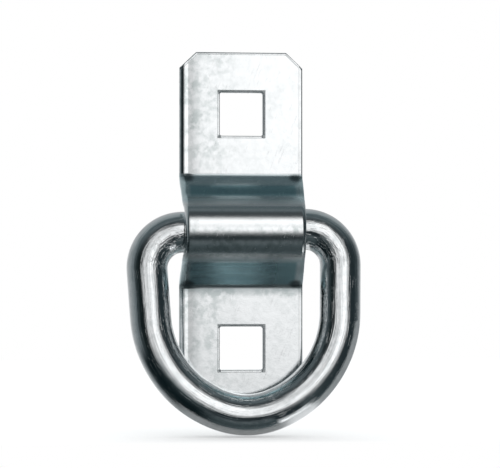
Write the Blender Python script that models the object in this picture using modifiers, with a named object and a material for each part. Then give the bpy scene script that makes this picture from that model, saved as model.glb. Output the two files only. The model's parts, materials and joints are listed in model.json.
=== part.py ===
"""Bolt-on tie-down: a folded steel strap bracket that holds a loose D-ring.

The bracket's back lies on the mounting plane Y = 0 and its front faces -Y. X runs across the
strap and +Z up along it. The origin is midway between the two bolt holes, on that plane.
"""

from math import asin, cos, pi, radians, sin, sqrt, tan

import bmesh
import bpy
from mathutils import Matrix

# Strap
STRAP_WIDTH = 0.0290
STRAP_THICKNESS = 0.0025
STRAP_EDGE_ROUND = 0.0011

# Loop, from the flanges' bends up to the bar: all radii are the front face's
BEND_RADIUS = 0.0010
SLOPE_ANGLE = radians(48.5)
WAIST_RADIUS = 0.0025
WRAP_ANGLE = radians(62)
LOOP_NARROWING = 0.0006

# Flanges
BOLT_SPACING = 0.0547
HOLE_TO_END = 0.0145
HOLE_SIZE = 0.0101
HOLE_CORNER_RADIUS = 0.0005
CORNER_CUT_ACROSS = 0.0039
CORNER_CUT_ALONG = 0.0037
SHEARED_EDGE_ROUND = 0.0006

# Ring
BAR_DIAMETER = 0.009525
RING_CORNER_RADIUS = 0.0083
RING_LEG_LENGTH = 0.0110
RING_LEG_LEAN = radians(2.4)
RING_SIDE_PAST_MIDDLE = 0.0023
RING_FOOT_START = radians(71)
WELD_LENGTH = 0.0030
WELD_RISE = 0.00025

# Fits
LOOP_CLEARANCE = 0.0007
SIDE_CLEARANCE = 0.00035
TOUCHING_GAP = 0.0003

# Smoothness
ARC_STEP = radians(7.5)
STRAP_EDGE_RESOLUTION = 2
SHEARED_EDGE_SEGMENTS = 2
SHARP_ANGLE = radians(50)
BAR_RESOLUTION = 10
WELD_STEPS = 6
FEWEST_ARC_STEPS = 2
CAP_WELD_DISTANCE = 1e-7
CUT_MARGIN = 0.002

# Finishes: colour and roughness
SATIN_ZINC = (0.72, 0.76, 0.79), 0.32
BRIGHT_ZINC = (0.76, 0.79, 0.81), 0.14

# Sizes that follow from those above
HALF_WIDTH = STRAP_WIDTH / 2
HALF_LENGTH = BOLT_SPACING / 2 + HOLE_TO_END
BAR_RADIUS = BAR_DIAMETER / 2
LOOP_INSIDE = BAR_RADIUS + LOOP_CLEARANCE
BAR_DEPTH = LOOP_INSIDE
LOOP_DEPTH = BAR_DEPTH + LOOP_INSIDE + STRAP_THICKNESS
WAIST_OFFSET = LOOP_INSIDE + STRAP_THICKNESS + WAIST_RADIUS
WAIST_DEPTH = BAR_DEPTH + WAIST_OFFSET * cos(WRAP_ANGLE)
WAIST_HEIGHT = WAIST_OFFSET * sin(WRAP_ANGLE)
BEND_DEPTH = STRAP_THICKNESS + BEND_RADIUS
WAIST_TO_BEND_ALONG = (
    (WAIST_DEPTH - BEND_DEPTH) * cos(SLOPE_ANGLE) - (WAIST_RADIUS - BEND_RADIUS)
) / sin(SLOPE_ANGLE)
BEND_HEIGHT = WAIST_HEIGHT + WAIST_TO_BEND_ALONG
BAR_HALF_STRAIGHT = HALF_WIDTH - LOOP_NARROWING + SIDE_CLEARANCE
RING_SIDE_RADIUS = (
    BAR_HALF_STRAIGHT
    + RING_CORNER_RADIUS * cos(RING_LEG_LEAN)
    - RING_LEG_LENGTH * sin(RING_LEG_LEAN)
    + RING_SIDE_PAST_MIDDLE
) / cos(RING_LEG_LEAN)
RING_SIDE_DROP = (
    RING_CORNER_RADIUS * (1 + sin(RING_LEG_LEAN))
    + RING_LEG_LENGTH * cos(RING_LEG_LEAN)
    - RING_SIDE_RADIUS * sin(RING_LEG_LEAN)
)
RING_FOOT_RADIUS = RING_SIDE_RADIUS - RING_SIDE_PAST_MIDDLE / cos(RING_FOOT_START)
RING_FOOT_DROP = RING_SIDE_DROP + RING_SIDE_PAST_MIDDLE * tan(RING_FOOT_START)

# The ring leans in its plane until the bar nearly meets the loop at the strap's two edges, and
# swings back until its sides nearly meet the lower flange where they cross the strap's edges.
RING_LEAN = asin((LOOP_CLEARANCE - TOUCHING_GAP) / HALF_WIDTH)
RING_REACH = RING_SIDE_DROP + sqrt(RING_SIDE_RADIUS**2 - (HALF_WIDTH + RING_SIDE_PAST_MIDDLE) ** 2)
RING_TILT = asin((STRAP_THICKNESS + BAR_RADIUS + TOUCHING_GAP - BAR_DEPTH) / RING_REACH)


def clear_scene():
    for scene_object in list(bpy.data.objects):
        bpy.data.objects.remove(scene_object, do_unlink=True)


def new_collection(name, hidden=False):
    collection = bpy.data.collections.new(name)
    collection.hide_render = hidden
    bpy.context.scene.collection.children.link(collection)
    return collection


def plated_steel(name, colour, roughness):
    material = bpy.data.materials.new(name)
    material.use_nodes = True
    shader = material.node_tree.nodes["Principled BSDF"]
    shader.inputs["Base Color"].default_value = (*colour, 1.0)
    shader.inputs["Metallic"].default_value = 1.0
    shader.inputs["Roughness"].default_value = roughness
    return material


def arc(centre, radius, start, end):
    """Points along an arc, both ends included, with angles from the first axis to the second."""
    steps = max(FEWEST_ARC_STEPS, round(abs(end - start) / ARC_STEP))
    angles = [start + (end - start) * step / steps for step in range(steps + 1)]
    return [(centre[0] + radius * cos(a), centre[1] + radius * sin(a)) for a in angles]


def flat_curve(name, outlines, half_depth):
    """A filled 2D curve in its own XY plane, extruded to half_depth on either side."""
    curve = bpy.data.curves.new(name, "CURVE")
    curve.dimensions = "2D"
    curve.fill_mode = "BOTH"
    curve.extrude = half_depth
    for outline in outlines:
        add_polyline(curve, [(across, along, 0.0) for across, along in outline])
    return curve


def add_polyline(curve, points, radii=None):
    """A closed polyline spline, with a radius factor for each point if radii is given."""
    spline = curve.splines.new("POLY")
    spline.points.add(len(points) - 1)
    for index, place in enumerate(points):
        spline.points[index].co = (*place, 1.0)
        spline.points[index].radius = radii[index] if radii else 1.0
    spline.use_cyclic_u = True


def solid_from_curve(name, curve, placement, collection):
    """Makes a mesh object from a curve, welds its caps to its sides and removes the curve."""
    source = bpy.data.objects.new(name + "_curve", curve)
    source.matrix_world = placement
    collection.objects.link(source)
    bpy.context.view_layer.update()
    evaluated = source.evaluated_get(bpy.context.evaluated_depsgraph_get())
    mesh = bpy.data.meshes.new_from_object(evaluated)
    mesh.name = name
    shape = bmesh.new()
    shape.from_mesh(mesh)
    bmesh.ops.remove_doubles(shape, verts=shape.verts, dist=CAP_WELD_DISTANCE)
    bmesh.ops.recalc_face_normals(shape, faces=shape.faces)
    shape.to_mesh(mesh)
    shape.free()
    solid = bpy.data.objects.new(name, mesh)
    solid.matrix_world = placement
    collection.objects.link(solid)
    bpy.data.objects.remove(source, do_unlink=True)
    return solid


def strap_face(depth):
    """The strap's side profile at a depth into its thickness, from its top end to its bottom."""
    into_metal = STRAP_THICKNESS - depth
    bend = arc((BEND_DEPTH, BEND_HEIGHT), BEND_RADIUS + into_metal, pi, pi + SLOPE_ANGLE)
    waist = arc((WAIST_DEPTH, WAIST_HEIGHT), WAIST_RADIUS + into_metal, pi + SLOPE_ANGLE, pi + WRAP_ANGLE)
    wrap = arc((BAR_DEPTH, 0.0), LOOP_INSIDE + depth, WRAP_ANGLE, 0.0)
    upper = [(depth, HALF_LENGTH)] + bend + waist + wrap[1:]
    lower = [(out, -height) for out, height in upper[-2::-1]]
    return upper + lower


def draw_in_sides(strap):
    """Narrows the strap evenly as it rises from the flanges to the loop's crown, where it stretched."""
    for vertex in strap.data.vertices:
        rise = (vertex.co.x - STRAP_THICKNESS) / (LOOP_DEPTH - STRAP_THICKNESS)
        vertex.co.z *= 1 - max(rise, 0.0) * LOOP_NARROWING / HALF_WIDTH


def folded_strap(collection):
    """The hat-shaped strip before it is pierced, its long edges rounded as rolled strip is."""
    outline = strap_face(0.0) + strap_face(STRAP_THICKNESS)[::-1]
    curve = flat_curve("strap_profile", [outline], HALF_WIDTH - STRAP_EDGE_ROUND)
    curve.bevel_depth = STRAP_EDGE_ROUND
    curve.bevel_resolution = STRAP_EDGE_RESOLUTION
    curve.offset = -STRAP_EDGE_ROUND
    profile_to_world = Matrix(((0, 0, -1, 0), (-1, 0, 0, 0), (0, 1, 0, 0), (0, 0, 0, 1)))
    strap = solid_from_curve("mounting_bracket", curve, profile_to_world, collection)
    draw_in_sides(strap)
    return strap


def rounded_square(height):
    """The outline of a bolt hole centred at a height on the strap."""
    inner = HOLE_SIZE / 2 - HOLE_CORNER_RADIUS
    outline = []
    for corner in range(4):
        start = corner * pi / 2
        across = inner * (1 if corner in (0, 3) else -1)
        along = inner * (1 if corner in (0, 1) else -1)
        centre = (across, height + along)
        outline += arc(centre, HOLE_CORNER_RADIUS, start, start + pi / 2)
    return outline


def cut_corner(side, end):
    """The outline of the waste cut from one corner of a flange."""
    outside = HALF_WIDTH + CUT_MARGIN
    beyond = HALF_LENGTH + CUT_MARGIN
    slope = CORNER_CUT_ALONG / CORNER_CUT_ACROSS
    low = HALF_LENGTH - CORNER_CUT_ALONG - CUT_MARGIN * slope
    inner = HALF_WIDTH - CORNER_CUT_ACROSS - CUT_MARGIN / slope
    return [(side * outside, end * low), (side * outside, end * beyond), (side * inner, end * beyond)]


def front_cutter(name, outlines, collection):
    """A cutter with outlines drawn on the mounting plane that passes through the strap."""
    curve = flat_curve(name, outlines, STRAP_THICKNESS + CUT_MARGIN)
    plan_to_world = Matrix(((1, 0, 0, 0), (0, 0, -1, 0), (0, 1, 0, 0), (0, 0, 0, 1)))
    cutter = solid_from_curve(name, curve, plan_to_world, collection)
    cutter.hide_render = True
    cutter.display_type = "WIRE"
    return cutter


def cut(target, cutter):
    boolean = target.modifiers.new(cutter.name, "BOOLEAN")
    boolean.operation = "DIFFERENCE"
    boolean.solver = "EXACT"
    boolean.object = cutter


def break_sheared_edges(bracket):
    """Takes the sharpness off the edges that the shear and the punch leave."""
    bevel = bracket.modifiers.new("sheared_edges", "BEVEL")
    bevel.width = SHEARED_EDGE_ROUND
    bevel.segments = SHEARED_EDGE_SEGMENTS
    bevel.limit_method = "ANGLE"
    bevel.angle_limit = SHARP_ANGLE
    bevel.use_clamp_overlap = False
    bracket.modifiers.new("flat_faces", "WEIGHTED_NORMAL")


def build_bracket(parts, cutters):
    bracket = folded_strap(parts)
    hole_heights = (BOLT_SPACING / 2, -BOLT_SPACING / 2)
    holes = [rounded_square(height) for height in hole_heights]
    corners = [cut_corner(side, end) for side in (-1, 1) for end in (-1, 1)]
    cut(bracket, front_cutter("punch_cutter", holes + corners, cutters))
    break_sheared_edges(bracket)
    bracket.data.materials.append(plated_steel("satin_zinc", *SATIN_ZINC))
    bracket.data.shade_smooth()
    bracket.data.set_sharp_from_angle(angle=SHARP_ANGLE)
    return bracket


def weld_profile():
    """Places along the bar and its radius factor there, over the low bead of the ring's weld."""
    places = [WELD_LENGTH * (step / WELD_STEPS - 0.5) for step in range(WELD_STEPS + 1)]
    rise = WELD_RISE / BAR_RADIUS
    return [(place, 1 + rise * cos(pi * place / WELD_LENGTH) ** 2) for place in places]


def ring_half():
    """The ring's centreline from the end of its straight side round to the foot of its arc."""
    corner_centre = (BAR_HALF_STRAIGHT, -RING_CORNER_RADIUS)
    side_centre = (-RING_SIDE_PAST_MIDDLE, -RING_SIDE_DROP)
    foot_centre = (0.0, -RING_FOOT_DROP)
    corner = arc(corner_centre, RING_CORNER_RADIUS, pi / 2, -RING_LEG_LEAN)
    side = arc(side_centre, RING_SIDE_RADIUS, -RING_LEG_LEAN, -RING_FOOT_START)
    foot = arc(foot_centre, RING_FOOT_RADIUS, -RING_FOOT_START, -pi / 2)
    return corner + side + foot[1:]


def build_ring(parts):
    """One round bar bent to a D and welded in the middle of its straight side."""
    right = ring_half()
    left = [(-across, along) for across, along in right[-2::-1]]
    weld = weld_profile()
    centreline = [(place, 0.0) for place, factor in weld] + right + left
    radii = [factor for place, factor in weld] + [1.0] * len(right + left)
    curve = bpy.data.curves.new("ring_bar", "CURVE")
    curve.dimensions = "3D"
    curve.bevel_depth = BAR_RADIUS
    curve.bevel_resolution = BAR_RESOLUTION
    add_polyline(curve, [(across, 0.0, along) for across, along in centreline], radii)
    placement = (
        Matrix.Translation((0.0, -BAR_DEPTH, 0.0))
        @ Matrix.Rotation(-RING_LEAN, 4, "Y")
        @ Matrix.Rotation(-RING_TILT, 4, "X")
    )
    ring = solid_from_curve("d_ring", curve, placement, parts)
    ring.data.materials.append(plated_steel("bright_zinc", *BRIGHT_ZINC))
    ring.data.shade_smooth()
    return ring


def main():
    clear_scene()
    parts = new_collection("d_ring_tie_down")
    cutters = new_collection("cutters", hidden=True)
    build_bracket(parts, cutters)
    build_ring(parts)


main()
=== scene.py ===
"""Looks of the bolt-on tie-down: the zinc-plated strap bracket and the bright D-ring in its loop."""

import json
from math import asin, atan2, cos, pi, radians, sin, sqrt, tan

import bmesh
import bpy
from mathutils import Matrix, Vector


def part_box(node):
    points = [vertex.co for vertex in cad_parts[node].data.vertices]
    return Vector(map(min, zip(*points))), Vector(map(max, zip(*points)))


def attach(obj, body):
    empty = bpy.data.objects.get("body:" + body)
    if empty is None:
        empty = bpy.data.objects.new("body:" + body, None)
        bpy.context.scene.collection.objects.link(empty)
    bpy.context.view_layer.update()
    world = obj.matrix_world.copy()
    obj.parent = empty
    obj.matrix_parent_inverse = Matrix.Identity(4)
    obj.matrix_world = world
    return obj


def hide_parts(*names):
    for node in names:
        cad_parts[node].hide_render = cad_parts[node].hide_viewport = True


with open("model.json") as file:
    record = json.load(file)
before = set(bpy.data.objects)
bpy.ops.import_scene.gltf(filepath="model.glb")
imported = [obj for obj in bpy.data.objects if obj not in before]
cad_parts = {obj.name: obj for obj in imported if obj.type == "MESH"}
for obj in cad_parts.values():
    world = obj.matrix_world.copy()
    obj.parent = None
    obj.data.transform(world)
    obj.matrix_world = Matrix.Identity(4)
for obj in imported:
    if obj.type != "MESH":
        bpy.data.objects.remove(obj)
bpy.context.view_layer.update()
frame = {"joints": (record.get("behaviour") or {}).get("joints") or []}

# Strap, in metres. The loop's radii are its front face's
STRAP_THICKNESS = 0.0025
STRAP_EDGE_ROUND = 0.0011
BEND_RADIUS = 0.0010
SLOPE_ANGLE = radians(48.5)
WAIST_RADIUS = 0.0025
WRAP_ANGLE = radians(62)
LOOP_NARROWING = 0.0006
HOLE_TO_END = 0.0145
HOLE_SIZE = 0.0101
HOLE_CORNER_RADIUS = 0.0005
CORNER_CUT_ACROSS = 0.0039
CORNER_CUT_ALONG = 0.0037
SHEARED_EDGE_ROUND = 0.0006
CUT_MARGIN = 0.002
PRESS_RIPPLE = 0.00011
RIPPLE_SKEW = 1.7
RIPPLE_STEPS = 16

# Ring, in metres
BAR_RADIUS = 0.009525 / 2
RING_CORNER_RADIUS = 0.0083
RING_LEG_LENGTH = 0.0110
RING_LEG_LEAN = radians(2.4)
RING_SIDE_PAST_MIDDLE = 0.0023
RING_FOOT_START = radians(71)
WELD_LENGTH = 0.0030
WELD_RISE = 0.00025
SIDE_CLEARANCE = 0.00035
TOUCHING_GAP = 0.0003

# Places read from the frame
strap_low, strap_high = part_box("mounting_bracket")
swing = frame["joints"][0]
HALF_WIDTH = strap_high.x
HALF_LENGTH = strap_high.z
BOLT_HEIGHT = HALF_LENGTH - HOLE_TO_END
BAR_DEPTH = -swing["pos_m"][1]
RING_LEAN = atan2(-swing["axis"][2], -swing["axis"][0])

# Sizes that follow
LOOP_INSIDE = BAR_DEPTH
LOOP_DEPTH = BAR_DEPTH + LOOP_INSIDE + STRAP_THICKNESS
WAIST_OFFSET = LOOP_INSIDE + STRAP_THICKNESS + WAIST_RADIUS
WAIST_DEPTH = BAR_DEPTH + WAIST_OFFSET * cos(WRAP_ANGLE)
WAIST_HEIGHT = WAIST_OFFSET * sin(WRAP_ANGLE)
BEND_DEPTH = STRAP_THICKNESS + BEND_RADIUS
BEND_HEIGHT = WAIST_HEIGHT + (
    (WAIST_DEPTH - BEND_DEPTH) * cos(SLOPE_ANGLE) - (WAIST_RADIUS - BEND_RADIUS)
) / sin(SLOPE_ANGLE)
BAR_HALF_STRAIGHT = HALF_WIDTH - LOOP_NARROWING + SIDE_CLEARANCE
RING_SIDE_RADIUS = (
    BAR_HALF_STRAIGHT
    + RING_CORNER_RADIUS * cos(RING_LEG_LEAN)
    - RING_LEG_LENGTH * sin(RING_LEG_LEAN)
    + RING_SIDE_PAST_MIDDLE
) / cos(RING_LEG_LEAN)
RING_SIDE_DROP = (
    RING_CORNER_RADIUS * (1 + sin(RING_LEG_LEAN))
    + RING_LEG_LENGTH * cos(RING_LEG_LEAN)
    - RING_SIDE_RADIUS * sin(RING_LEG_LEAN)
)
RING_FOOT_RADIUS = RING_SIDE_RADIUS - RING_SIDE_PAST_MIDDLE / cos(RING_FOOT_START)
RING_FOOT_DROP = RING_SIDE_DROP + RING_SIDE_PAST_MIDDLE * tan(RING_FOOT_START)
RING_REACH = RING_SIDE_DROP + sqrt(RING_SIDE_RADIUS**2 - (HALF_WIDTH + RING_SIDE_PAST_MIDDLE) ** 2)
RING_TILT = asin((STRAP_THICKNESS + BAR_RADIUS + TOUCHING_GAP - BAR_DEPTH) / RING_REACH)

# Fineness of the visible meshes
ARC_STEP = radians(2.0)
FEWEST_ARC_STEPS = 2
HOLE_CORNER_STEPS = 6
MERGE_DISTANCE = 1e-7
EDGE_RESOLUTION = 6
SHEARED_EDGE_SEGMENTS = 4
SHARP_ANGLE = radians(50)
BAR_SIDES = 72
BAR_STEP = 0.0004

# Camera
CAMERA_AZIMUTH = -6.2
CAMERA_ELEVATION = -1.5
CAMERA_DISTANCE = 0.550
PIXELS_PER_METRE = 4262.0
IMAGE_WIDTH, IMAGE_HEIGHT = 500, 468
ORIGIN_PIXEL = (240.3, 231.3)
SENSOR_WIDTH = 36.0


def add_node(tree, kind, **settings):
    """A new node, with its properties set by name."""
    node = tree.nodes.new(kind)
    for name, value in settings.items():
        setattr(node, name, value)
    return node


def feed(tree, socket, value):
    """Joins a socket to another node's output, or gives it a value."""
    if isinstance(value, bpy.types.NodeSocket):
        tree.links.new(value, socket)
    else:
        socket.default_value = value


def maths(tree, operation, *values):
    node = add_node(tree, "ShaderNodeMath", operation=operation)
    for socket, value in zip(node.inputs, values):
        feed(tree, socket, value)
    return node.outputs[0]


def mix_colour(tree, share, first, second):
    node = add_node(tree, "ShaderNodeMix", data_type="RGBA")
    feed(tree, node.inputs["Factor"], share)
    feed(tree, node.inputs["A"], first)
    feed(tree, node.inputs["B"], second)
    return node.outputs["Result"]


def remap(tree, value, low, high, to_low, to_high, smooth=True):
    """The value moved from one range to another, held at the range's ends."""
    kind = "SMOOTHSTEP" if smooth else "LINEAR"
    node = add_node(tree, "ShaderNodeMapRange", interpolation_type=kind)
    names = ("Value", "From Min", "From Max", "To Min", "To Max")
    for name, number in zip(names, (value, low, high, to_low, to_high)):
        feed(tree, node.inputs[name], number)
    return node.outputs["Result"]


def new_group(name, inputs, outputs):
    """A shader node group with named sockets: inputs as (name, kind, default), outputs as (name, kind)."""
    group = bpy.data.node_groups.new(name, "ShaderNodeTree")
    for label, kind, default in inputs:
        socket = group.interface.new_socket(label, in_out="INPUT", socket_type=kind)
        if default is not None:
            socket.default_value = default
    for label, kind in outputs:
        group.interface.new_socket(label, in_out="OUTPUT", socket_type=kind)
    return group, add_node(group, "NodeGroupInput"), add_node(group, "NodeGroupOutput")


def place_group(tree, group, **values):
    node = add_node(tree, "ShaderNodeGroup", node_tree=group)
    for name, value in values.items():
        feed(tree, node.inputs[name.replace("_", " ")], value)
    return node


def arc(centre, radius, start, end):
    """Points along an arc, both ends included, with angles from the first axis to the second."""
    steps = max(FEWEST_ARC_STEPS, round(abs(end - start) / ARC_STEP))
    angles = [start + (end - start) * step / steps for step in range(steps + 1)]
    return [(centre[0] + radius * cos(a), centre[1] + radius * sin(a)) for a in angles]


def flat_curve(name, outlines, half_depth):
    """A filled 2D curve in its own XY plane, extruded to half_depth on either side."""
    curve = bpy.data.curves.new(name, "CURVE")
    curve.dimensions = "2D"
    curve.fill_mode = "BOTH"
    curve.extrude = half_depth
    for outline in outlines:
        spline = curve.splines.new("POLY")
        spline.points.add(len(outline) - 1)
        for point, (across, along) in zip(spline.points, outline):
            point.co = (across, along, 0.0, 1.0)
        spline.use_cyclic_u = True
    return curve


def evaluated_mesh(piece, name):
    """The object's mesh with its modifiers applied, in world space, its loose caps welded."""
    bpy.context.view_layer.update()
    evaluated = piece.evaluated_get(bpy.context.evaluated_depsgraph_get())
    mesh = bpy.data.meshes.new_from_object(evaluated)
    mesh.name = name
    mesh.transform(piece.matrix_world)
    shape = bmesh.new()
    shape.from_mesh(mesh)
    bmesh.ops.remove_doubles(shape, verts=shape.verts, dist=MERGE_DISTANCE)
    bmesh.ops.recalc_face_normals(shape, faces=shape.faces)
    shape.to_mesh(mesh)
    shape.free()
    return mesh


def mesh_piece(name, mesh):
    piece = bpy.data.objects.new(name, mesh)
    bpy.context.scene.collection.objects.link(piece)
    return piece


def solid_from_curve(name, curve, placement):
    """A mesh object made from a curve laid at a placement. The curve object is removed."""
    source = bpy.data.objects.new(name + "_curve", curve)
    source.matrix_world = placement
    bpy.context.scene.collection.objects.link(source)
    mesh = evaluated_mesh(source, name)
    bpy.data.objects.remove(source, do_unlink=True)
    return mesh_piece(name, mesh)


def rippled(start, end):
    """Points between the two, where the press left one shallow wave in the strap's sloping web."""
    start, end = Vector(start), Vector(end)
    outward = Vector((sin(pi / 2 - SLOPE_ANGLE), cos(pi / 2 - SLOPE_ANGLE)))
    points = []
    for step in range(1, RIPPLE_STEPS):
        share = step / RIPPLE_STEPS
        point = start.lerp(end, share) + outward * PRESS_RIPPLE * sin(2 * pi * share**RIPPLE_SKEW)
        points.append(tuple(point))
    return points


def strap_face(depth):
    """The strap's side profile at a depth into its thickness, from its top end to its bottom."""
    into_metal = STRAP_THICKNESS - depth
    bend = arc((BEND_DEPTH, BEND_HEIGHT), BEND_RADIUS + into_metal, pi, pi + SLOPE_ANGLE)
    waist = arc((WAIST_DEPTH, WAIST_HEIGHT), WAIST_RADIUS + into_metal, pi + SLOPE_ANGLE, pi + WRAP_ANGLE)
    wrap = arc((BAR_DEPTH, 0.0), LOOP_INSIDE + depth, WRAP_ANGLE, 0.0)
    upper = [(depth, HALF_LENGTH)] + bend + rippled(bend[-1], waist[0]) + waist + wrap[1:]
    lower = [(out, -height) for out, height in upper[-2::-1]]
    return upper + lower


def draw_in_sides(mesh):
    """Narrows the strap evenly as it rises from the flanges to the loop's crown, where it stretched."""
    for vertex in mesh.vertices:
        rise = (-vertex.co.y - STRAP_THICKNESS) / (LOOP_DEPTH - STRAP_THICKNESS)
        vertex.co.x *= 1 - max(rise, 0.0) * LOOP_NARROWING / HALF_WIDTH


def folded_strap():
    """The strip pressed to its hat shape, its long edges rounded as rolled strip is."""
    outline = strap_face(0.0) + strap_face(STRAP_THICKNESS)[::-1]
    curve = flat_curve("strap_profile", [outline], HALF_WIDTH - STRAP_EDGE_ROUND)
    curve.bevel_depth = STRAP_EDGE_ROUND
    curve.bevel_resolution = EDGE_RESOLUTION
    curve.offset = -STRAP_EDGE_ROUND
    profile_to_world = Matrix(((0, 0, -1, 0), (-1, 0, 0, 0), (0, 1, 0, 0), (0, 0, 0, 1)))
    strap = solid_from_curve("bracket_strap", curve, profile_to_world)
    draw_in_sides(strap.data)
    return strap


def rounded_square(height):
    """The outline of a bolt hole centred at a height on the strap."""
    inner = HOLE_SIZE / 2 - HOLE_CORNER_RADIUS
    outline = []
    for corner in range(4):
        start = corner * pi / 2
        across = inner * (1 if corner in (0, 3) else -1)
        along = inner * (1 if corner in (0, 1) else -1)
        for step in range(HOLE_CORNER_STEPS + 1):
            angle = start + pi / 2 * step / HOLE_CORNER_STEPS
            outline.append(
                (across + HOLE_CORNER_RADIUS * cos(angle), height + along + HOLE_CORNER_RADIUS * sin(angle))
            )
    return outline


def cut_corner(side, end):
    """The outline of the waste cut from one corner of a flange."""
    outside = HALF_WIDTH + CUT_MARGIN
    beyond = HALF_LENGTH + CUT_MARGIN
    slope = CORNER_CUT_ALONG / CORNER_CUT_ACROSS
    low = HALF_LENGTH - CORNER_CUT_ALONG - CUT_MARGIN * slope
    inner = HALF_WIDTH - CORNER_CUT_ACROSS - CUT_MARGIN / slope
    return [(side * outside, end * low), (side * outside, end * beyond), (side * inner, end * beyond)]


def cut(target, name, outlines):
    """Cuts outlines drawn on the mounting plane right through the target."""
    plan_to_world = Matrix(((1, 0, 0, 0), (0, 0, -1, 0), (0, 1, 0, 0), (0, 0, 0, 1)))
    curve = flat_curve(name, outlines, STRAP_THICKNESS + CUT_MARGIN)
    cutter = solid_from_curve(name, curve, plan_to_world)
    boolean = target.modifiers.new(name, "BOOLEAN")
    boolean.operation = "DIFFERENCE"
    boolean.solver = "EXACT"
    boolean.object = cutter
    return cutter


def make_bracket():
    """The folded strap with its holes, cut corners and broken edges."""
    rough = folded_strap()
    corners = [cut_corner(side, end) for side in (-1, 1) for end in (-1, 1)]
    holes = [rounded_square(height) for height in (BOLT_HEIGHT, -BOLT_HEIGHT)]
    cutters = [cut(rough, "bolt_holes", holes), cut(rough, "corners", corners)]
    bevel = rough.modifiers.new("sheared_edges", "BEVEL")
    bevel.width = SHEARED_EDGE_ROUND
    bevel.segments = SHEARED_EDGE_SEGMENTS
    bevel.limit_method = "ANGLE"
    bevel.angle_limit = SHARP_ANGLE
    bevel.use_clamp_overlap = False
    mesh = evaluated_mesh(rough, "bracket_strap")
    for helper in [rough, *cutters]:
        bpy.data.objects.remove(helper, do_unlink=True)
    mesh.shade_smooth()
    bracket = mesh_piece("bracket_strap", mesh)
    bracket.modifiers.new("flat_faces", "WEIGHTED_NORMAL")
    return bracket


def ring_half():
    """The ring's centreline from the end of its straight side round to the foot of its arc."""
    corner_centre = (BAR_HALF_STRAIGHT, -RING_CORNER_RADIUS)
    side_centre = (-RING_SIDE_PAST_MIDDLE, -RING_SIDE_DROP)
    foot_centre = (0.0, -RING_FOOT_DROP)
    corner = arc(corner_centre, RING_CORNER_RADIUS, pi / 2, -RING_LEG_LEAN)
    side = arc(side_centre, RING_SIDE_RADIUS, -RING_LEG_LEAN, -RING_FOOT_START)
    foot = arc(foot_centre, RING_FOOT_RADIUS, -RING_FOOT_START, -pi / 2)
    return corner + side + foot[1:]


def evenly_spaced(points, step):
    """Points of the closed polyline, spaced evenly at about the step."""
    closed = [Vector(p) for p in points] + [Vector(points[0])]
    lengths = [(b - a).length for a, b in zip(closed, closed[1:])]
    count = round(sum(lengths) / step)
    spacing = sum(lengths) / count
    spaced = []
    leg = 0
    passed = 0.0
    for index in range(count):
        target = index * spacing
        while passed + lengths[leg] < target:
            passed += lengths[leg]
            leg += 1
        share = (target - passed) / lengths[leg]
        spaced.append(closed[leg].lerp(closed[leg + 1], share))
    return spaced, spacing


def weld_swell(place):
    """How far the weld's low bead raises the bar's surface at a distance from the seam."""
    if abs(place) > WELD_LENGTH / 2:
        return 0.0
    return WELD_RISE * cos(pi * place / WELD_LENGTH) ** 2


def make_ring():
    """The round bar swept round its D, as a mesh that knows each point's place on the bar. Its length too."""
    right = ring_half()
    left = [(-across, along) for across, along in right[-2::-1]]
    path, spacing = evenly_spaced([(0.0, 0.0), *right, *left], BAR_STEP)
    length = spacing * len(path)
    shape = bmesh.new()
    place = shape.verts.layers.float_vector.new("bar_place")
    rings = []
    for index, point in enumerate(path):
        tangent = (path[(index + 1) % len(path)] - path[index - 1]).normalized()
        outward = Vector((-tangent.y, tangent.x))
        along = index * spacing
        radius = BAR_RADIUS + weld_swell(min(along, length - along))
        ring = []
        for side in range(BAR_SIDES):
            angle = 2 * pi * side / BAR_SIDES
            flat = point + outward * radius * cos(angle)
            vertex = shape.verts.new((flat.x, radius * sin(angle), flat.y))
            vertex[place] = (along, BAR_RADIUS * cos(angle), BAR_RADIUS * sin(angle))
            ring.append(vertex)
        rings.append(ring)
    for index, ring in enumerate(rings):
        following = rings[(index + 1) % len(rings)]
        for side in range(BAR_SIDES):
            other = (side + 1) % BAR_SIDES
            shape.faces.new((ring[side], following[side], following[other], ring[other]))
    bmesh.ops.recalc_face_normals(shape, faces=shape.faces)
    mesh = bpy.data.meshes.new("ring_bar")
    shape.to_mesh(mesh)
    shape.free()
    placement = (
        Matrix.Translation((0.0, -BAR_DEPTH, 0.0))
        @ Matrix.Rotation(-RING_LEAN, 4, "Y")
        @ Matrix.Rotation(-RING_TILT, 4, "X")
    )
    mesh.transform(placement)
    mesh.shade_smooth()
    return mesh_piece("ring_bar", mesh), length


def times(tree, *values):
    """The product of the values."""
    product = values[0]
    for value in values[1:]:
        product = maths(tree, "MULTIPLY", product, value)
    return product


def plus(tree, *values):
    """The sum of the values."""
    total = values[0]
    for value in values[1:]:
        total = maths(tree, "ADD", total, value)
    return total


def largest(tree, *values):
    """The largest of the values."""
    most = values[0]
    for value in values[1:]:
        most = maths(tree, "MAXIMUM", most, value)
    return most


def fade(tree, value, start, end, full=1.0, smooth=True):
    """0 at the start and before it, full at the end and beyond it, whichever way the two lie."""
    return remap(tree, value, start, end, 0.0, full, smooth)


def within(tree, value, low, high, margin, full=1.0):
    """Full between two limits, fading to 0 over a margin outside either."""
    rising = fade(tree, value, low - margin, low)
    falling = fade(tree, value, high + margin, high, full)
    return times(tree, rising, falling)


def split(tree, place):
    """The three parts of a place."""
    parts = add_node(tree, "ShaderNodeSeparateXYZ")
    feed(tree, parts.inputs[0], place)
    return parts.outputs


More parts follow.
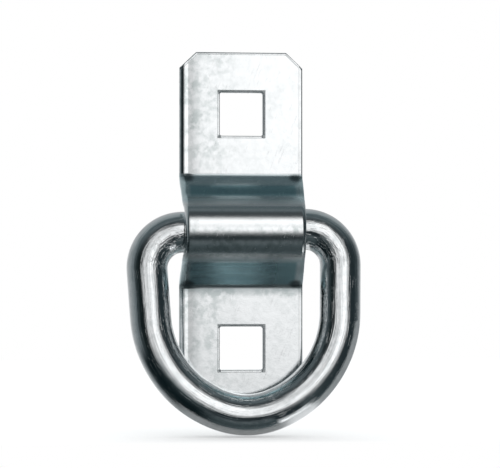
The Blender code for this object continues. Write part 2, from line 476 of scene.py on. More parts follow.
def noise(tree, place, size, detail=2.0, roughness=0.5):
    """Noise from 0 to 1, whose grain has the given size in metres: one length, or one for each axis."""
    lengths = (size, size, size) if isinstance(size, float) else size
    scaled = add_node(tree, "ShaderNodeVectorMath", operation="DIVIDE")
    feed(tree, scaled.inputs[0], place)
    feed(tree, scaled.inputs[1], lengths)
    grain = add_node(tree, "ShaderNodeTexNoise")
    feed(tree, grain.inputs["Vector"], scaled.outputs[0])
    for name, value in (("Scale", 1.0), ("Detail", detail), ("Roughness", roughness)):
        feed(tree, grain.inputs[name], value)
    return grain.outputs["Fac"]


def bump(tree, height, depth, below=None):
    """The normal of a surface raised by height, from 0 to 1, times a depth in metres."""
    node = add_node(tree, "ShaderNodeBump")
    feed(tree, node.inputs["Distance"], depth)
    feed(tree, node.inputs["Height"], height)
    if below is not None:
        feed(tree, node.inputs["Normal"], below)
    return node.outputs["Normal"]


def layered_bumps(tree, layers):
    """The normal of a surface with reliefs laid one over the other, each a height and a depth in metres."""
    normal = None
    for height, depth in layers:
        normal = bump(tree, height, depth, normal)
    return normal


# Zinc's mottle: the grain of its patches, spangle and speckle in metres, the noise levels between
# which a patch and a spangle begin and are whole, and how much each one counts
PATCH_SIZE = 0.0050
SPANGLE_SIZE = 0.0014
SPECKLE_SIZE = 0.00034
PATCH_LEVELS = (0.36, 0.66)
SPANGLE_LEVELS = (0.32, 0.68)
SPANGLE_MIDDLE = 0.5
SPANGLE_OUTSIDE_PATCHES = 0.35
PATCH_ROUGHNESS_SHARE = 0.5
SPECKLE_HEIGHT_SHARE = 0.25

# Scratches: the size in metres of the areas that have them, the noise levels of both, how far full
# cover lowers the scratches' level and how soft their sides are
SCRATCHED_AREA_SIZE = 0.0030
SCRATCHED_AREA_LEVELS = (0.42, 0.62)
SCRATCH_LEVEL = 0.78
SCRATCH_LEVEL_FALL = 0.3
SCRATCH_EDGE = 0.06


def plating_group():
    """Zinc's mottle, shared by both metals: coarse dull patches with finer spangle inside them."""
    inputs = [
        ("Place", "NodeSocketVector", None),
        ("Bright", "NodeSocketColor", (0.9, 0.9, 0.9, 1.0)),
        ("Dull", "NodeSocketColor", (0.6, 0.6, 0.6, 1.0)),
        ("Cover", "NodeSocketFloat", 0.5),
        ("Roughness", "NodeSocketFloat", 0.2),
        ("Roughness Spread", "NodeSocketFloat", 0.1),
    ]
    outputs = [("Colour", "NodeSocketColor"), ("Roughness", "NodeSocketFloat"), ("Height", "NodeSocketFloat")]
    tree, given, result = new_group("zinc_plating", inputs, outputs)
    place, extra = given.outputs["Place"], given.outputs["Roughness Spread"]
    patches = fade(tree, noise(tree, place, PATCH_SIZE, detail=3.0), *PATCH_LEVELS)
    spangle = noise(tree, place, SPANGLE_SIZE)
    speckle = noise(tree, place, SPECKLE_SIZE, detail=1.0)
    spangled = fade(tree, spangle, *SPANGLE_LEVELS)
    mottle = times(tree, spangled, plus(tree, patches, SPANGLE_OUTSIDE_PATCHES))
    dullness = times(tree, mottle, given.outputs["Cover"])
    colour = mix_colour(tree, dullness, given.outputs["Bright"], given.outputs["Dull"])
    spangle_spread = times(tree, maths(tree, "SUBTRACT", spangle, SPANGLE_MIDDLE), extra)
    patch_spread = times(tree, patches, extra, PATCH_ROUGHNESS_SHARE)
    roughness = plus(tree, given.outputs["Roughness"], spangle_spread, patch_spread)
    speckled = times(tree, speckle, SPECKLE_HEIGHT_SHARE)
    height = plus(tree, speckled, times(tree, spangle, 1 - SPECKLE_HEIGHT_SHARE))
    for name, value in (("Colour", colour), ("Roughness", roughness), ("Height", height)):
        feed(tree, result.inputs[name], value)
    return tree


def scratch_group():
    """Sparse short scratches, shared by both metals: thin lines that run along the first axis."""
    inputs = [
        ("Place", "NodeSocketVector", None),
        ("Length", "NodeSocketFloat", 0.006),
        ("Width", "NodeSocketFloat", 0.00018),
        ("Cover", "NodeSocketFloat", 0.3),
    ]
    outputs = [("Mask", "NodeSocketFloat"), ("Height", "NodeSocketFloat")]
    tree, given, result = new_group("scratches", inputs, outputs)
    place = given.outputs["Place"]
    sizes = add_node(tree, "ShaderNodeCombineXYZ")
    for socket, name in zip(sizes.inputs, ("Length", "Width", "Width")):
        feed(tree, socket, given.outputs[name])
    lines = noise(tree, place, sizes.outputs[0], detail=1.0)
    area = fade(tree, noise(tree, place, SCRATCHED_AREA_SIZE), *SCRATCHED_AREA_LEVELS)
    start = maths(tree, "MULTIPLY_ADD", given.outputs["Cover"], -SCRATCH_LEVEL_FALL, SCRATCH_LEVEL)
    mask = times(tree, fade(tree, lines, start, plus(tree, start, SCRATCH_EDGE)), area)
    feed(tree, result.inputs["Mask"], mask)
    feed(tree, result.inputs["Height"], maths(tree, "SUBTRACT", 1.0, mask))
    return tree


def new_metal(name):
    """A material, its tree and its metallic shader."""
    material = bpy.data.materials.new(name)
    material.use_nodes = True
    tree = material.node_tree
    shader = tree.nodes["Principled BSDF"]
    shader.inputs["Metallic"].default_value = 1.0
    return material, tree, shader


def turned(tree, place, angle):
    """The place turned by an angle about the axis that points out of the strap."""
    node = add_node(tree, "ShaderNodeVectorRotate", rotation_type="Y_AXIS")
    feed(tree, node.inputs["Vector"], place)
    feed(tree, node.inputs["Angle"], angle)
    return node.outputs[0]


# Strap's zones, in metres across the strap, up it or away from the bar's height. A fade says where it
# starts, where it is whole and, if not 1, how strong it is there. At the cut corners it goes by how
# near the cut is, and a rim's depth is behind the strap's front
FLANGE_FADE = (BEND_HEIGHT - 0.0004, BEND_HEIGHT + 0.0002)
CROWN_FADE = (WAIST_HEIGHT - 0.0020, WAIST_HEIGHT - 0.0035)
LOWER_HALF_FADE = (0.0, -0.0010)
RIM_START = 0.0007
RIM_WHOLE = 0.0005
RIM_DEPTH_START = 0.0008
RIM_DEPTH_WHOLE = 0.0006
CORNER_RIM_FADE = (0.74, 0.82)

# Strap's rolled lips: their widths in metres, and their heights beside the right edge's, which is 1
EDGE_LIP_START = 0.0011
EDGE_LIP_END = 0.0001
RIM_LIP_WIDTH = 0.0006
RIM_LIP = 0.8
LIP_CLEAR_OF_WALL = 0.0002
LIP_MARGIN = 0.0001
CORNER_LIP_FADE = (0.776, 1.0, 0.8)
END_LIP = 0.65

# Where, in metres, and how much of the strap's mottle shows dull: painted shade greys its left side and the
# flange below the lower bend, the crown's lower half is greyer and a little shows all over. The left's
# painted shade is whole above the first height over the upper bend and weaker below the second
LEFT_PAINTED_SHADE = (0.0015, -0.0085, 0.50)
FAR_LEFT_PAINTED_SHADE = (-0.0095, -0.0115, 0.40)
LEFT_SHADE_BY_HEIGHT = (0.0185, 0.0165, 1.0, 0.35)
LOWER_BEND_PAINTED_SHADE = (-0.0162, -0.0132, 1.1)
CROWN_GREYING = (0.0018, -0.0004, 0.75)
DULLING_ALL_OVER = 0.16

# Marks on the webs and bends: bands of painted shade on both webs, tinted blue, painted shade below
# the lower bend and darker grey at the ends of both bends
WEB_SHADE_SIDES = (-0.0119, 0.0118, 0.0010)
UPPER_WEB_SHADE = (0.0084, 0.0102, 0.0008)
LOWER_WEB_SHADE = (-0.0122, -0.0078, 0.0008)
BEND_SHADE_START = (-0.0158, -0.0130, 0.80)
BEND_SHADE_END = (-0.0122, -0.0128)
BEND_END_ACROSS = 0.0126
BEND_END_HEIGHT = 0.0124
BEND_END_FLATTENING = 1.5
BEND_END_FADE = (0.0021, 0.0006)

# Strap's roughness, and what edges, webs, waists, bends, crown and scratches add to it. A lip takes
# most of its edge's wear away
SATIN_ROUGHNESS = 0.12
SATIN_SPREAD = 0.07
SHEARED_WEAR = 0.60
RIGHT_EDGE_WEAR = (HALF_WIDTH - 0.0013, HALF_WIDTH - 0.0008, 0.30)
LIP_POLISH = (0.0, 1 / 6, 0.8)
RIGHT_WEB_WEAR = (0.0070, 0.0100, 0.40)
LOWER_WEB_FADE = (-0.0060, -0.0075)
WEB_WEAR = 0.07
WAIST_WEAR = (0.0058, 0.0068, 0.0008, 0.22)
BEND_WEAR = (BEND_HEIGHT - 0.0006, BEND_HEIGHT, 0.0003, 0.20)
CROWN_WEAR = (0.0010, -0.0010, 0.04)
STRAP_SCRATCH_WEAR = 0.12

# Strap's colours, and how far scratches, the webs' blue, their blue painted shade and the darker bend ends
# cover the plating below them. The dull grey is also the painted shade's colour at the left and below the
# lower bend
STRAP_BRIGHT = (0.93, 0.95, 0.96, 1.0)
STRAP_DULL = (0.64, 0.69, 0.69, 1.0)
STRAP_SCRATCH = (0.98, 0.98, 0.98, 1.0)
WEB_BLUE = (0.71, 0.86, 0.89, 1.0)
# Blue-tinted painted shade in bands on the webs
WEB_BLUE_AND_SHADE = (0.36, 0.58, 0.63, 1.0)
# Grey of the painted shade below the lower bend
BEND_PAINTED_SHADE = (0.30, 0.345, 0.355, 1.0)
BEND_END_GREY = (0.10, 0.13, 0.14, 1.0)
STRAP_SCRATCH_SHARE = 0.25
WEB_BLUE_SHARE = 0.8
WEB_BLUE_AND_SHADE_SHARE = 0.9
BEND_END_SHARE = 0.85

# Strap's relief, in metres: the groove beside its left edge and the other marks
GROOVE_PLACE = -0.0125
GROOVE_REACH = 0.0045
GROOVE_SHARPNESS = 3.0
GROOVE_DEPTH = 0.00022
EDGE_FALL = (-HALF_WIDTH + 0.0014, -HALF_WIDTH + 0.0004)
EDGE_FALL_DEPTH = 0.00022
LIP_SHARPNESS = 2.0
LIP_HEIGHT = 0.00050
STRAP_MOTTLE_DEPTH = 0.000016
ROLLING_SIZE = (0.0120, 0.00050, 0.00050)
ROLLING_DEPTH = 0.000016
STRAP_SCRATCH_DEPTH = 0.000004
STRAP_SCRATCH_ANGLE = radians(68)


def near_corner_cut(tree, x, z):
    """How near a place on the strap is to its cut corners: 1 along the cuts."""
    shares = []
    for place, half, cut_back in ((x, HALF_WIDTH, CORNER_CUT_ACROSS), (z, HALF_LENGTH, CORNER_CUT_ALONG)):
        beyond = maths(tree, "SUBTRACT", maths(tree, "ABSOLUTE", place), half - cut_back)
        shares.append(maths(tree, "DIVIDE", beyond, cut_back))
    return plus(tree, *shares)


def sheared_edges(tree, x, y, z):
    """1 on the rounded front edges left by the shear at the bolt holes, ends and cut corners."""
    wide, tall = maths(tree, "ABSOLUTE", x), maths(tree, "ABSOLUTE", z)
    offset = maths(tree, "ABSOLUTE", maths(tree, "SUBTRACT", tall, BOLT_HEIGHT))
    half = HOLE_SIZE / 2
    at_hole = fade(tree, largest(tree, wide, offset), half + RIM_START, half + RIM_WHOLE)
    at_end = fade(tree, tall, HALF_LENGTH - RIM_START, HALF_LENGTH - RIM_WHOLE)
    at_corner = fade(tree, near_corner_cut(tree, x, z), *CORNER_RIM_FADE)
    in_front = fade(tree, y, RIM_DEPTH_START - STRAP_THICKNESS, RIM_DEPTH_WHOLE - STRAP_THICKNESS)
    return times(tree, largest(tree, at_hole, at_end, at_corner), in_front)


def rim_lip(tree, towards, along):
    """The lip on one rim of a bolt hole, by the place towards the hole's middle and along the rim."""
    half = HOLE_SIZE / 2
    rise = fade(tree, towards, -half - RIM_LIP_WIDTH, -half, RIM_LIP, smooth=False)
    stop = fade(tree, towards, LIP_CLEAR_OF_WALL - half, LIP_MARGIN - half)
    return times(tree, rise, stop, within(tree, along, -half, half, LIP_MARGIN))


def rolled_lips(tree, x, z):
    """Height of the lips that flatten the rounded edges: right side, holes' rims, cut corners and ends."""
    tall = maths(tree, "ABSOLUTE", z)
    up_from_hole = times(tree, maths(tree, "SUBTRACT", tall, BOLT_HEIGHT), maths(tree, "SIGN", z))
    edge = fade(tree, x, HALF_WIDTH - EDGE_LIP_START, HALF_WIDTH - EDGE_LIP_END, smooth=False)
    left_rim = rim_lip(tree, x, up_from_hole)
    lower_rim = rim_lip(tree, up_from_hole, x)
    corner = fade(tree, near_corner_cut(tree, x, z), *CORNER_LIP_FADE, smooth=False)
    end = fade(tree, tall, HALF_LENGTH - RIM_LIP_WIDTH, HALF_LENGTH, END_LIP, smooth=False)
    return largest(tree, edge, left_rim, lower_rim, corner, end)


def strap_zones(tree, z):
    """Masks of the strap's flanges, of its crown and of the webs between them."""
    off_middle = maths(tree, "ABSOLUTE", z)
    flange = fade(tree, off_middle, *FLANGE_FADE)
    crown = fade(tree, off_middle, *CROWN_FADE)
    return flange, crown, maths(tree, "SUBTRACT", 1.0, plus(tree, flange, crown))


def strap_mottle_and_painted_shade(tree, x, z, flange, crown):
    """How much of the strap's mottle shows dull: painted shade at the left and below the lower bend, a greyer
    lower half on the crown and a little all over.
    """
    lower_half = fade(tree, z, *LOWER_HALF_FADE)
    # Painted shade: the plating greys towards the strap's left side
    left = plus(tree, fade(tree, x, *LEFT_PAINTED_SHADE), fade(tree, x, *FAR_LEFT_PAINTED_SHADE))
    left = times(tree, left, largest(tree, remap(tree, z, *LEFT_SHADE_BY_HEIGHT), lower_half))
    # Painted shade: the flange just below the lower bend greys
    by_bend = times(tree, fade(tree, z, *LOWER_BEND_PAINTED_SHADE), lower_half)
    on_flange = times(tree, plus(tree, left, by_bend), flange)
    on_crown = times(tree, fade(tree, z, *CROWN_GREYING), crown)
    return plus(tree, on_flange, on_crown, DULLING_ALL_OVER)


def strap_wear(tree, x, y, z, crown, web, lips):
    """How much rougher the strap is than its satin zinc: at its edges, bends, waists, webs and crown."""
    off_middle = maths(tree, "ABSOLUTE", z)
    sheared = times(tree, sheared_edges(tree, x, y, z), SHEARED_WEAR)
    edges = largest(tree, sheared, fade(tree, x, *RIGHT_EDGE_WEAR))
    polish = fade(tree, lips, *LIP_POLISH, smooth=False)
    edges = times(tree, edges, maths(tree, "SUBTRACT", 1.0, polish))
    right_web = times(tree, fade(tree, x, *RIGHT_WEB_WEAR), fade(tree, z, *LOWER_WEB_FADE))
    webs = times(tree, web, plus(tree, right_web, WEB_WEAR))
    folds = plus(tree, within(tree, off_middle, *WAIST_WEAR), within(tree, off_middle, *BEND_WEAR))
    return plus(tree, edges, webs, folds, times(tree, fade(tree, z, *CROWN_WEAR), crown))


def web_tint_and_shade(tree, x, z):
    """Bands of painted shade, tinted blue, on the strap's two webs, short of their long edges."""
    heights = largest(tree, within(tree, z, *UPPER_WEB_SHADE), within(tree, z, *LOWER_WEB_SHADE))
    return times(tree, within(tree, x, *WEB_SHADE_SIDES), heights)


def darker_bend_ends(tree, x, z):
    """Darker grey at the four ends of the two bends."""
    across = maths(tree, "SUBTRACT", maths(tree, "ABSOLUTE", x), BEND_END_ACROSS)
    up = maths(tree, "SUBTRACT", maths(tree, "ABSOLUTE", z), BEND_END_HEIGHT)
    up = times(tree, up, BEND_END_FLATTENING)
    distance = maths(tree, "SQRT", plus(tree, times(tree, across, across), times(tree, up, up)))
    return fade(tree, distance, *BEND_END_FADE)


def strap_colour(tree, x, z, web, plated, scratched):
    """The plating's colour with scratches, the webs' blue, their blue painted shade, painted shade below the
    lower bend and darker bend ends laid over it.
    """
    # Painted shade in grey just below the lower bend
    shade = times(tree, fade(tree, z, *BEND_SHADE_START), fade(tree, z, *BEND_SHADE_END))
    layers = [
        (times(tree, scratched, STRAP_SCRATCH_SHARE), STRAP_SCRATCH),
        (times(tree, web, WEB_BLUE_SHARE), WEB_BLUE),
        # Painted shade in bands on both webs, tinted blue
        (times(tree, web_tint_and_shade(tree, x, z), WEB_BLUE_AND_SHADE_SHARE), WEB_BLUE_AND_SHADE),
        (shade, BEND_PAINTED_SHADE),
        (times(tree, darker_bend_ends(tree, x, z), BEND_END_SHARE), BEND_END_GREY),
    ]
    colour = plated
    for share, over in layers:
        colour = mix_colour(tree, share, colour, over)
    return colour


def strap_relief(tree, place, x, flange, web, lips):
    """Heights and depths of the webs' rolled grain, the left groove, the left edge's fall and the lips."""
    rolling = times(tree, noise(tree, place, ROLLING_SIZE), web)
    from_groove = maths(tree, "ABSOLUTE", maths(tree, "SUBTRACT", x, GROOVE_PLACE))
    groove = maths(tree, "POWER", fade(tree, from_groove, GROOVE_REACH, 0.0, smooth=False), GROOVE_SHARPNESS)
    return [
        (rolling, ROLLING_DEPTH),
        (times(tree, groove, flange), -GROOVE_DEPTH),
        (fade(tree, x, *EDGE_FALL), -EDGE_FALL_DEPTH),
        (maths(tree, "POWER", lips, LIP_SHARPNESS), LIP_HEIGHT),
    ]


def strap_zinc(plating, scratches):
    """Satin zinc on the strap: mottled, with painted shade at its left, below its lower bend and in bands on
    its webs, blue on the webs, rougher and greyer on the crown's lower half.
    """
    material, tree, shader = new_metal("satin_zinc")
    place = add_node(tree, "ShaderNodeTexCoord").outputs["Object"]
    x, y, z = split(tree, place)
    flange, crown, web = strap_zones(tree, z)
    lips = rolled_lips(tree, x, z)
    wear = strap_wear(tree, x, y, z, crown, web, lips)
    skin = place_group(
        tree, plating, Place=place, Bright=STRAP_BRIGHT, Dull=STRAP_DULL,
        # The cover carries painted shade at the left and below the lower bend besides the mottle
        Cover=strap_mottle_and_painted_shade(tree, x, z, flange, crown),
        Roughness=plus(tree, SATIN_ROUGHNESS, wear), Roughness_Spread=SATIN_SPREAD,
    )
    slanted = turned(tree, place, STRAP_SCRATCH_ANGLE)
    marks = place_group(tree, scratches, Place=slanted, Length=0.0045, Width=0.00020, Cover=0.40)
    scratched = marks.outputs["Mask"]
    colour = strap_colour(tree, x, z, web, skin.outputs["Colour"], scratched)
    feed(tree, shader.inputs["Base Color"], colour)
    roughness = plus(tree, times(tree, scratched, STRAP_SCRATCH_WEAR), skin.outputs["Roughness"])
    feed(tree, shader.inputs["Roughness"], roughness)
    normal = layered_bumps(tree, [
        (skin.outputs["Height"], STRAP_MOTTLE_DEPTH),
        *strap_relief(tree, place, x, flange, web, lips),
        (marks.outputs["Height"], STRAP_SCRATCH_DEPTH),
    ])
    feed(tree, shader.inputs["Normal"], normal)
    return material


# Ring's zinc: its colours, how dull and rough it is, and what scratches and scuffs add
RING_BRIGHT = (0.86, 0.88, 0.89, 1.0)
RING_DULL = (0.60, 0.64, 0.65, 1.0)
RING_SCRATCH = (0.95, 0.95, 0.95, 1.0)
RING_DULLING = 0.40
RING_ROUGHNESS = 0.035
RING_SPREAD = 0.03
RING_SCRATCH_SHARE = 0.6
RING_SCRATCH_WEAR = 0.22
SCUFF_WEAR = 0.12

# Ring's scuffs, in metres: how far they reach past the straight side's ends, how they fade towards the
# ring's outside, and their grain
SCUFF_REACH = (BAR_HALF_STRAIGHT + 0.0010, BAR_HALF_STRAIGHT + 0.0125, 0.0020)
SCUFF_INSIDE = (0.0030, -0.0010)
SCUFF_SIZE = (0.0024, 0.00060, 0.00060)
SCUFF_LEVELS = (0.52, 0.62)

# Ring's relief, in metres: the grain along and round the bar, and its depth
WAVE_SIZE = (0.0045, 0.0022, 0.0022)
WAVE_DEPTH = 0.000034
COARSE_LINE_SIZE = (0.0130, 0.00055, 0.00055)
COARSE_LINE_DEPTH = 0.000050
FINE_LINE_SIZE = (0.0055, 0.00018, 0.00018)
FINE_LINE_DEPTH = 0.000013
RING_SCRATCH_DEPTH = 0.000008
SCUFF_DEPTH = 0.000028


def scuffed_bends(tree, place, length):
    """Where the bending dies scuffed the two tight corners of the ring."""
    along, outward, _ = split(tree, place)
    nearest = maths(tree, "MINIMUM", along, maths(tree, "SUBTRACT", length, along))
    torn = fade(tree, noise(tree, place, SCUFF_SIZE), *SCUFF_LEVELS)
    return times(tree, within(tree, nearest, *SCUFF_REACH), fade(tree, outward, *SCUFF_INSIDE), torn)


def ring_zinc(plating, scratches, length):
    """Bright zinc on the drawn bar: long fine draw lines, faint waves and scuffs along its length."""
    material, tree, shader = new_metal("bright_zinc")
    place = add_node(tree, "ShaderNodeAttribute", attribute_name="bar_place").outputs["Vector"]
    scuffs = scuffed_bends(tree, place, length)
    skin = place_group(
        tree, plating, Place=place, Bright=RING_BRIGHT, Dull=RING_DULL, Cover=RING_DULLING,
        Roughness=plus(tree, times(tree, scuffs, SCUFF_WEAR), RING_ROUGHNESS), Roughness_Spread=RING_SPREAD,
    )
    marks = place_group(tree, scratches, Place=place, Length=0.0040, Width=0.00022, Cover=0.60)
    scratched = marks.outputs["Mask"]
    share = times(tree, scratched, RING_SCRATCH_SHARE)
    feed(tree, shader.inputs["Base Color"], mix_colour(tree, share, skin.outputs["Colour"], RING_SCRATCH))
    roughness = plus(tree, times(tree, scratched, RING_SCRATCH_WEAR), skin.outputs["Roughness"])
    feed(tree, shader.inputs["Roughness"], roughness)
    normal = layered_bumps(tree, [
        (noise(tree, place, WAVE_SIZE, detail=1.0), WAVE_DEPTH),
        (noise(tree, place, COARSE_LINE_SIZE, detail=3.0, roughness=0.6), COARSE_LINE_DEPTH),
        (noise(tree, place, FINE_LINE_SIZE), FINE_LINE_DEPTH),
        (marks.outputs["Height"], RING_SCRATCH_DEPTH),
        (scuffs, SCUFF_DEPTH),
    ])
    feed(tree, shader.inputs["Normal"], normal)
    return material


# Floor, in metres: its level, its front edge and how far it fades in from there. Metal sees it start
# further back and end at the left
FLOOR_LEVEL = -0.0477
FLOOR_FRONT = -0.0340
FLOOR_FADE = 0.0170
METAL_FRONT = -0.0122
METAL_FADE = 0.0016
METAL_LEFT = (-0.030, -0.014)
FLOOR_BACK = 0.6
FLOOR_HALF_WIDTH = 0.6

# Floor's finish: its grain, as noise levels and the shares of its colour at them, its own light, its
# soft shadow and the strip of light that metal sees in it
FLOOR_COLOUR = 0.85
FLOOR_ROUGHNESS = 0.9
FLOOR_GRAIN_SIZE = 0.02
FLOOR_GRAIN = (0.3, 0.7, 0.97, 1.0)
FLOOR_OWN_LIGHT = 0.86
SHADOW_REACH = 0.050
SHADOW_SAMPLES = 8
DEEPEST_SHADOW = 0.30
STRIP_PLACE = (0.015, 0.022, 0.006)
STRIP_LIGHT = 0.45
METAL_LIGHT = 0.08
BLACK, WHITE = (0.0, 0.0, 0.0, 1.0), (1.0, 1.0, 1.0, 1.0)


def floor_mesh():
    corners = [
        (-FLOOR_HALF_WIDTH, FLOOR_FRONT), (FLOOR_HALF_WIDTH, FLOOR_FRONT),
        (FLOOR_HALF_WIDTH, FLOOR_BACK), (-FLOOR_HALF_WIDTH, FLOOR_BACK),
    ]
    mesh = bpy.data.meshes.new("floor")
    mesh.from_pydata([(x, y, FLOOR_LEVEL) for x, y in corners], [], [(0, 1, 2, 3)])
    return mesh


def floor_finish():
    """Pale and matt. Its own light makes it white to the camera, less where something stands close."""
    material = bpy.data.materials.new("pale_floor")
    material.use_nodes = True
    tree = material.node_tree
    shader = tree.nodes["Principled BSDF"]
    place = add_node(tree, "ShaderNodeTexCoord").outputs["Object"]
    x, y, _ = split(tree, place)
    paths = add_node(tree, "ShaderNodeLightPath")
    to_camera, to_metal = paths.outputs["Is Camera Ray"], paths.outputs["Is Glossy Ray"]
    seen_body = fade(tree, y, FLOOR_FRONT, FLOOR_FRONT + FLOOR_FADE)
    other_body = fade(tree, y, METAL_FRONT, METAL_FRONT + METAL_FADE)
    other_body = times(tree, other_body, fade(tree, x, *METAL_LEFT))
    body = maths(tree, "MULTIPLY_ADD", maths(tree, "SUBTRACT", seen_body, other_body), to_camera, other_body)
    grain = remap(tree, noise(tree, place, FLOOR_GRAIN_SIZE, detail=3.0), *FLOOR_GRAIN)
    colour = mix_colour(tree, times(tree, body, FLOOR_COLOUR, grain), BLACK, WHITE)
    feed(tree, shader.inputs["Base Color"], colour)
    feed(tree, shader.inputs["Roughness"], FLOOR_ROUGHNESS)
    feed(tree, shader.inputs["Specular IOR Level"], 0.0)
    feed(tree, shader.inputs["Emission Color"], WHITE)
    openness = add_node(tree, "ShaderNodeAmbientOcclusion", samples=SHADOW_SAMPLES)
    feed(tree, openness.inputs["Distance"], SHADOW_REACH)
    shade = remap(tree, openness.outputs["AO"], 0.0, 1.0, DEEPEST_SHADOW, 1.0, smooth=False)
    own = maths(tree, "SUBTRACT", times(tree, shade, FLOOR_OWN_LIGHT), 1.0)
    glow = maths(tree, "MULTIPLY_ADD", body, own, 1.0)
    in_metal = times(tree, other_body, plus(tree, within(tree, x, *STRIP_PLACE, STRIP_LIGHT), METAL_LIGHT))
    shown = plus(tree, times(tree, to_metal, in_metal), times(tree, to_camera, glow))
    feed(tree, shader.inputs["Emission Strength"], shown)
    feed(tree, shader.inputs["Alpha"], largest(tree, to_camera, other_body))
    return material


def make_floor():
    """A pale floor just under the ring. It is white to the camera where no shadow falls on it."""
    floor = mesh_piece("floor", floor_mesh())
    floor.data.materials.append(floor_finish())


# The room as the metal sees it, by the angle from straight in front, in degrees: its light above,
# below, in the two lower corners and at either side. Straight behind is the white backdrop
ROOM_ABOVE = [
    (50, (0.040, 0.048, 0.052)),
    (62, (0.045, 0.056, 0.060)),
    (72, (0.120, 0.145, 0.155)),
    (80, (0.080, 0.104, 0.112)),
    (90, (0.068, 0.094, 0.102)),
    (98, (0.160, 0.190, 0.200)),
    (107, (0.270, 0.310, 0.320)),
    (125, (0.340, 0.370, 0.380)),
    (155, (0.450, 0.460, 0.470)),
    (178, (1.000, 1.000, 1.000)),
]
ROOM_BELOW = [
    (10, (0.030, 0.040, 0.044)),
    (24, (0.012, 0.019, 0.022)),
    (31, (0.022, 0.030, 0.034)),
    (38, (0.085, 0.103, 0.109)),
    (46, (0.088, 0.107, 0.113)),
    (54, (0.050, 0.068, 0.073)),
    (66, (0.042, 0.056, 0.060)),
    (76, (0.045, 0.060, 0.064)),
    (86, (0.080, 0.105, 0.112)),
    (96, (0.200, 0.230, 0.240)),
    (140, (0.320, 0.330, 0.340)),
    (178, (1.000, 1.000, 1.000)),
]
ROOM_LOWER_RIGHT = [
    (40, (0.020, 0.028, 0.032)),
    (60, (0.018, 0.026, 0.030)),
    (68, (0.450, 0.470, 0.480)),
    (75, (1.450, 1.470, 1.480)),
    (82, (1.250, 1.270, 1.280)),
    (90, (0.600, 0.620, 0.630)),
    (110, (0.300, 0.320, 0.330)),
    (178, (1.000, 1.000, 1.000)),
]
ROOM_LOWER_LEFT = [
    (20, (0.100, 0.120, 0.126)),
    (30, (0.035, 0.047, 0.051)),
    (41, (0.013, 0.021, 0.024)),
    (60, (0.004, 0.009, 0.011)),
    (94, (0.008, 0.014, 0.016)),
    (106, (0.050, 0.062, 0.066)),
    (117, (0.170, 0.190, 0.198)),
    (132, (0.340, 0.360, 0.370)),
    (178, (1.000, 1.000, 1.000)),
]
ROOM_LEFT = [
    (40, (0.008, 0.013, 0.014)),
    (62, (0.010, 0.016, 0.017)),
    (76, (0.050, 0.065, 0.070)),
    (88, (0.130, 0.155, 0.165)),
    (105, (0.240, 0.270, 0.280)),
    (135, (0.380, 0.400, 0.410)),
    (158, (0.600, 0.610, 0.620)),
    (178, (1.000, 1.000, 1.000)),
]
ROOM_RIGHT = [
    (40, (0.024, 0.033, 0.037)),
    (62, (0.020, 0.029, 0.033)),
    (80, (0.020, 0.030, 0.034)),
    (104, (0.060, 0.076, 0.082)),
    (118, (0.180, 0.200, 0.210)),
    (136, (0.420, 0.440, 0.450)),
    (158, (0.620, 0.630, 0.640)),
    (178, (1.000, 1.000, 1.000)),
]

# The soft light ahead, in degrees: its strength across, by azimuth, and up and down, by elevation. Off
# the line straight in front it is whole up to the first angle and a tenth as strong from the second
KEY_ACROSS = [
    (-44, 0.00), (-35, 0.09), (-30, 0.36), (-26, 0.66), (-20, 0.70), (-14, 0.60),
    (-9, 0.50), (-6, 0.48), (-2, 0.62), (3, 0.76), (8, 0.88), (12, 1.00),
    (16, 1.04), (22, 0.90), (30, 0.68), (36, 0.42), (44, 0.10), (52, 0.00),
]
KEY_UP = [
    (-20, 0.00), (-16, 0.03), (-13, 0.10), (-10, 0.22), (-7, 0.38), (-4, 0.56),
    (-1, 0.73), (2, 0.86), (5, 0.92), (9, 0.84), (13, 0.78), (18, 0.82),
    (24, 0.93), (29, 1.00), (33, 0.86), (37, 0.66), (41, 0.44), (45, 0.26),
    (49, 0.13), (53, 0.06), (58, 0.02), (64, 0.00),
]
KEY_ROUND = (39, 54, 1.0, 0.1)
KEY_LIGHT = 1.43
KEY_COLOUR = (KEY_LIGHT, KEY_LIGHT, KEY_LIGHT, 1.0)
HALF_TURN = 180.0

# How the room's parts meet, by how far a direction points right or up across the view, from -1 to 1
SIDES_MEET = (-0.3, 0.3)
ABOVE_MEETS_SIDES = (0.3, 0.9)
BELOW_MEETS_SIDES = (-0.3, -0.9)
CORNERS_START = (-0.2, -0.45)
LOWER_RIGHT_PLACE = (0.50, 0.67, 0.07)
LOWER_LEFT_PLACE = (-0.22, -0.48)


def light_curve(tree, place, stops):
    """A smooth curve of light through stops, which are (place, grey level or colour) pairs."""
    low, high = stops[0][0], stops[-1][0]
    share = maths(tree, "DIVIDE", maths(tree, "SUBTRACT", place, low), high - low)
    curve = add_node(tree, "ShaderNodeValToRGB")
    feed(tree, curve.inputs["Fac"], share)
    points = curve.color_ramp.elements
    points.remove(points[1])
    for index, (where, light) in enumerate(stops):
        point = points[0] if index == 0 else points.new((where - low) / (high - low))
        point.position = (where - low) / (high - low)
        point.color = (*light, 1.0) if isinstance(light, tuple) else (light, light, light, 1.0)
    return curve.outputs["Color"]


def degrees(tree, operation, *values):
    """An inverse trigonometric operation's angle, in degrees."""
    return times(tree, maths(tree, operation, *values), HALF_TURN / pi)


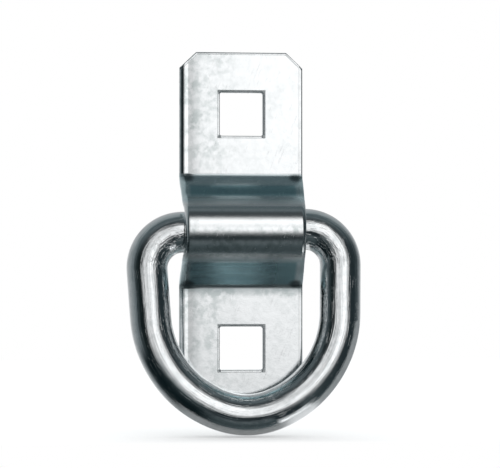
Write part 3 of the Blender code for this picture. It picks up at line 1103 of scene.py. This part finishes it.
def make_room(tree, x, y, z):
    """The colour of the room in a direction."""
    off_axis = maths(tree, "SQRT", maths(tree, "SUBTRACT", 1.0, times(tree, y, y)))
    from_front = degrees(tree, "ARCCOSINE", times(tree, y, -1.0))
    upness = maths(tree, "DIVIDE", z, off_axis)
    rightness = maths(tree, "DIVIDE", x, off_axis)
    above, below, left, right, lower_right, lower_left = (
        light_curve(tree, from_front, stops)
        for stops in (ROOM_ABOVE, ROOM_BELOW, ROOM_LEFT, ROOM_RIGHT, ROOM_LOWER_RIGHT, ROOM_LOWER_LEFT)
    )
    sides = mix_colour(tree, fade(tree, rightness, *SIDES_MEET), left, right)
    upper = mix_colour(tree, fade(tree, upness, *ABOVE_MEETS_SIDES), sides, above)
    whole = mix_colour(tree, fade(tree, upness, *BELOW_MEETS_SIDES), upper, below)
    down = fade(tree, upness, *CORNERS_START)
    share = times(tree, within(tree, rightness, *LOWER_RIGHT_PLACE), down)
    whole = mix_colour(tree, share, whole, lower_right)
    share = times(tree, fade(tree, rightness, *LOWER_LEFT_PLACE), down)
    return mix_colour(tree, share, whole, lower_left)


def make_world():
    """White to the camera. Metal sees a soft light ahead, a dark room round it and the backdrop behind."""
    world = bpy.data.worlds.new("studio")
    bpy.context.scene.world = world
    world.use_nodes = True
    tree = world.node_tree
    tree.nodes.clear()
    x, y, z = split(tree, add_node(tree, "ShaderNodeTexCoord").outputs["Generated"])
    ahead = times(tree, y, -1.0)
    across = light_curve(tree, degrees(tree, "ARCTAN2", x, ahead), KEY_ACROSS)
    up = light_curve(tree, degrees(tree, "ARCSINE", z), KEY_UP)
    round_off = remap(tree, degrees(tree, "ARCCOSINE", ahead), *KEY_ROUND)
    lit = mix_colour(tree, times(tree, across, up, round_off), make_room(tree, x, y, z), KEY_COLOUR)
    seen = add_node(tree, "ShaderNodeLightPath").outputs["Is Camera Ray"]
    background = add_node(tree, "ShaderNodeBackground")
    feed(tree, background.inputs["Color"], mix_colour(tree, seen, lit, WHITE))
    output = add_node(tree, "ShaderNodeOutputWorld")
    tree.links.new(background.outputs[0], output.inputs["Surface"])


def make_camera():
    """A long lens at the photograph's angle, aimed at the origin and shifted to its framing."""
    camera = bpy.data.cameras.new("camera")
    camera.sensor_width = SENSOR_WIDTH
    camera.lens = SENSOR_WIDTH * PIXELS_PER_METRE * CAMERA_DISTANCE / IMAGE_WIDTH
    camera.shift_x = (IMAGE_WIDTH / 2 - ORIGIN_PIXEL[0]) / IMAGE_WIDTH
    camera.shift_y = (ORIGIN_PIXEL[1] - IMAGE_HEIGHT / 2) / IMAGE_WIDTH
    azimuth, elevation = radians(CAMERA_AZIMUTH), radians(CAMERA_ELEVATION)
    back = Vector((sin(azimuth) * cos(elevation), -cos(azimuth) * cos(elevation), sin(elevation)))
    viewer = bpy.data.objects.new("camera", camera)
    viewer.location = back * CAMERA_DISTANCE
    viewer.rotation_mode = "QUATERNION"
    viewer.rotation_quaternion = (-back).to_track_quat("-Z", "Y")
    bpy.context.scene.collection.objects.link(viewer)
    bpy.context.scene.camera = viewer


def main():
    bracket = make_bracket()
    plating, scratches = plating_group(), scratch_group()
    bracket.data.materials.append(strap_zinc(plating, scratches))
    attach(bracket, "bracket")
    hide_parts("mounting_bracket")
    ring, ring_length = make_ring()
    ring.data.materials.append(ring_zinc(plating, scratches, ring_length))
    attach(ring, "ring")
    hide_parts("d_ring")
    make_floor()
    make_world()
    make_camera()
    bpy.context.scene.view_settings.view_transform = "Standard"


main()
